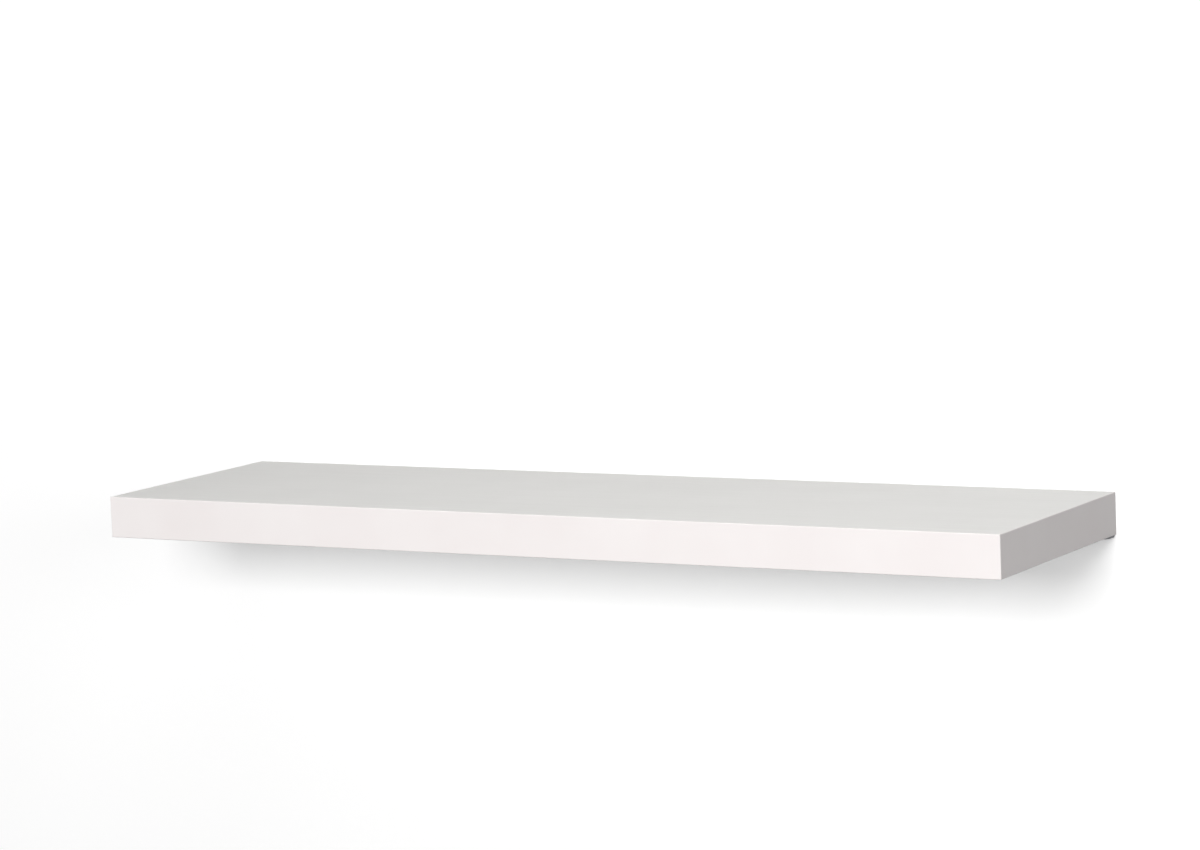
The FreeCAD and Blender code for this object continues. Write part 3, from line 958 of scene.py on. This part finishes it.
# %% Turn the rods
ROD_LEAD = 2.0 * MM
ROD_SIDES = 64
ROD_SOFT = 0.4 * MM
SPIGOT_RADIUS = 4.0 * MM
SPIGOT_SET_IN = 0.2 * MM
OUTWARD = Vector((0, -1, 0))


def rod(x, tip, radius):
    """A rod with its spigot in the rail, and a chamfered tip with soft corners."""
    shoulder = tip - ROD_LEAD
    nose = radius - ROD_LEAD
    profile = [
        (SPIGOT_SET_IN, SPIGOT_RADIUS - ROD_SOFT),
        (SPIGOT_SET_IN + ROD_SOFT / 2, SPIGOT_RADIUS),
        (SHEET, SPIGOT_RADIUS),
        (SHEET, radius),
        (shoulder - ROD_SOFT, radius),
        (shoulder - ROD_SOFT / 4, radius - ROD_SOFT / 6),
        (shoulder + ROD_SOFT / 2, radius - ROD_SOFT),
        (tip - ROD_SOFT, nose + ROD_SOFT),
        (tip - ROD_SOFT / 4, nose + ROD_SOFT / 4),
        (tip, nose - ROD_SOFT / 2),
    ]
    return turned(profile, Vector((x, 0, 0)), OUTWARD, ROD_SIDES)


# %% Run the beads
BEAD_LEG = 3.0 * MM
BEAD_SWELL = 0.35 * MM
BEAD_RIPPLE = 0.14 * MM
BEAD_RIPPLES = 22
STEPS_PER_RIPPLE = 6
BEAD_ARC = 8
DIAGONAL = 0.7


def weld_bead(x, radius):
    """A closed ring of weld round the rod's foot, with a rippled outer face."""
    mesh = bmesh.new()
    sides = BEAD_RIPPLES * STEPS_PER_RIPPLE
    sections = []
    for side in range(sides):
        angle = 2 * math.pi * side / sides
        ripple = abs(math.sin(angle * BEAD_RIPPLES / 2)) * BEAD_RIPPLE
        outline = [(0.0, radius)]
        for step in range(BEAD_ARC + 1):
            share = step / BEAD_ARC
            swell = math.sin(math.pi * share) * (BEAD_SWELL + ripple)
            out = BEAD_LEG * (1 - share) + swell * DIAGONAL
            along = BEAD_LEG * share + swell * DIAGONAL
            outline.append((along, radius + out))
        corners = []
        for along, reach in outline:
            place = (x + reach * math.cos(angle), -SHEET - along, reach * math.sin(angle))
            corners.append(mesh.verts.new(place))
        sections.append(corners)
    return skin_circle(mesh, sections)


for place, x in zip(("left", "centre", "right"), rod_xs):
    node = "rod_" + place
    low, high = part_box(node)
    rod_radius = (high.x - low.x) / 2 - BEAD_LEG
    coated = ("bracket", "powder_coated_steel")
    finish_piece(rod(x, -low.y, rod_radius), place + "_rod", grey_coat, *coated, node)
    finish_piece(weld_bead(x, rod_radius), place + "_weld_bead", grey_coat, *coated)

# %% [markdown]
# ## Lock screws
# Each screw is one surface in rows and columns: the rows follow the head, the shank and the point, and
# the radius of a row swells where the thread passes. That makes a true helix with a few lines, and the
# thread fades in and out by a weight. The cross recess is then cut with a tapered tool.

# %% Give the screw its measures
PITCH = 1.4 * MM
CORE = 1.25 * MM
CREST = 1.75 * MM
HEAD_RADIUS = 3.5 * MM
HEAD_HEIGHT = 2.4 * MM
HEAD_FLAT = 2.4 * MM
HEAD_CROWN = 1.2 * MM
HEAD_STEPS = 6
HEAD_SOFT = 0.2 * MM
NECK = 0.3 * MM
PLAIN = 3.0 * MM
POINT = 3.0 * MM
POINT_RADIUS = 0.12 * MM
ROWS_PER_TURN = 14
COLUMNS = 40
RIDGE = 0.42
FULLNESS = 0.8


def thread_height(phase):
    """0 between the turns and 1 on the crest, for a phase from 0 to 1 along one turn."""
    from_crest = abs(phase - 0.5) / (RIDGE / 2)
    return max(0.0, 1.0 - from_crest) ** FULLNESS


def screw_rows(length):
    """(along, radius, thread's weight) rows from the middle of the head to the tip."""
    rows = []
    for step in range(HEAD_STEPS + 1):
        angle = step / HEAD_STEPS * math.pi / 2
        radius = HEAD_FLAT + (HEAD_RADIUS - HEAD_FLAT) * math.sin(angle)
        rows.append((HEAD_CROWN * (1 - math.cos(angle)), radius, 0.0))
    rows.append((HEAD_HEIGHT - HEAD_SOFT, HEAD_RADIUS, 0.0))
    rows.append((HEAD_HEIGHT, HEAD_RADIUS - HEAD_SOFT, 0.0))
    rows.append((HEAD_HEIGHT, CORE + 0.35 * MM, 0.0))
    rows.append((HEAD_HEIGHT + NECK, CORE + 0.1 * MM, 0.0))
    start = HEAD_HEIGHT + PLAIN
    rows.append((start, CORE, 0.0))
    count = round((length - start) / PITCH * ROWS_PER_TURN)
    for step in range(1, count + 1):
        along = start + (length - start) * step / count
        tip = min(1.0, (length - along) / POINT)
        fade = min(1.0, (along - start) / PITCH) * tip
        rows.append((along, max(CORE * tip ** FULLNESS, POINT_RADIUS), fade))
    return rows


# %% Cut the cross
RECESS_ARM = 2.0 * MM
RECESS_HALF_WIDTH = 0.5 * MM
RECESS_LEVELS = ((-0.3 * MM, 1.06), (0.0, 1.0), (1.4 * MM, 0.5))
QUARTERS = ((1, 1), (-1, 1), (-1, -1), (1, -1))


def cross_recess(base):
    """A tapered cross, four millimetres over its arms at the head's face."""
    long, wide = RECESS_ARM, RECESS_HALF_WIDTH
    mesh = bmesh.new()
    rings = []
    for height, scale in RECESS_LEVELS:
        ring = []
        for quarter, (sx, sy) in enumerate(QUARTERS):
            corner = [(long * sx, wide * sy), (wide * sx, wide * sy), (wide * sx, long * sy)]
            if quarter % 2:
                corner.reverse()
            for across, up in corner:
                ring.append(mesh.verts.new(base + Vector((across * scale, up * scale, height))))
        rings.append(ring)
    return skin_rings(mesh, rings)


# %% Roll the screws
def lock_screw(side):
    low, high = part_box("lock_screw_" + side)
    centre = (low + high) / 2
    mesh = bmesh.new()
    rings = []
    for along, radius, weight in screw_rows(high.z - low.z):
        ring = []
        for column in range(COLUMNS):
            angle = 2 * math.pi * column / COLUMNS
            phase = (along / PITCH - column / COLUMNS) % 1.0
            reach = radius + (CREST - CORE) * thread_height(phase) * weight
            x = centre.x + reach * math.cos(angle)
            y = centre.y + reach * math.sin(angle)
            ring.append(mesh.verts.new((x, y, low.z + along)))
        rings.append(ring)
    skin_rings(mesh, rings)
    return cut_away(mesh, cross_recess(Vector((centre.x, centre.y, low.z))))


for side in ("left", "right"):
    screw = lock_screw(side)
    body = side + "_lock"
    finish_piece(screw, side + "_lock_screw", zinc, body, "zinc_plated_steel", "lock_screw_" + side)

# %% [markdown]
# ## Washers
# A washer is punched from strip, and a punch rolls one rim of each cut over and leaves the other sharp.
# Here the hole's upper rim and the outer edge's lower rim are the rolled ones. The section is a small
# outline that is spun round the screw's axis, and the ring closes on itself.

# %% Punch the washers
WASHER_BORE = 2.2 * MM
WASHER_SIDES = 56
ROLLED_RIM = 0.25 * MM
CRISP_RIM = 0.08 * MM


def washer_section(outer, thick):
    """(radius, height) pairs round the washer's cut face."""
    bore, soft, crisp = WASHER_BORE, ROLLED_RIM, CRISP_RIM
    return [
        (bore + crisp, 0.0),
        (outer - soft, 0.0),
        (outer - soft / 4, soft / 4),
        (outer, soft),
        (outer, thick - crisp),
        (outer - crisp, thick),
        (bore + soft, thick),
        (bore + soft / 4, thick - soft / 4),
        (bore, thick - soft),
        (bore, crisp),
    ]


def washer(side):
    low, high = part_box("lock_washer_" + side)
    centre = (low + high) / 2
    mesh = bmesh.new()
    sections = []
    for index in range(WASHER_SIDES):
        angle = 2 * math.pi * index / WASHER_SIDES
        corners = []
        for reach, height in washer_section((high.x - low.x) / 2, high.z - low.z):
            x = centre.x + reach * math.cos(angle)
            y = centre.y + reach * math.sin(angle)
            corners.append(mesh.verts.new((x, y, low.z + height)))
        sections.append(corners)
    return skin_circle(mesh, sections)


for side in ("left", "right"):
    ring = washer(side)
    body = side + "_lock"
    finish_piece(ring, side + "_lock_washer", zinc, body, "zinc_plated_steel", "lock_washer_" + side)

# %% [markdown]
# ## What stays as it is
# The frame, the panels and the honeycomb keep their solids, whose shapes are already right. They only
# need their finish, and a small bevel on the sawn edges. The imported mesh has its faces apart, so a
# Weld modifier joins them first, or the bevel would find no edge between two faces.

# %% Dress the carried-over solids
SAWN_EASE = 0.15 * MM


def dress(node, material, ease=0.0):
    """Gives a solid its finish and, where ease is more than 0, a bevel of that width."""
    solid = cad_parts[node]
    for holder in solid.material_slots:
        holder.material = material
    if ease:
        weld = solid.modifiers.new("weld", "WELD")
        weld.merge_threshold = SAME_PLACE
        bevel = solid.modifiers.new("ease", "BEVEL")
        bevel.width = ease
        bevel.segments = EASE_CUTS
        bevel.limit_method = "ANGLE"
        bevel.angle_limit = SHARP
        bevel.harden_normals = True


for node in ("front_rail", "back_rail", "left_end_rail", "right_end_rail"):
    dress(node, particleboard, SAWN_EASE)
for place in ("left", "centre", "right"):
    dress("rod_block_" + place, particleboard, SAWN_EASE)
for node in ("top_panel", "bottom_panel"):
    dress(node, fibreboard, SAWN_EASE / 2)
for place in ("far_left", "near_left", "near_right", "far_right"):
    dress("honeycomb_" + place, kraft)
dress("frame_staples", zinc, SAWN_EASE)
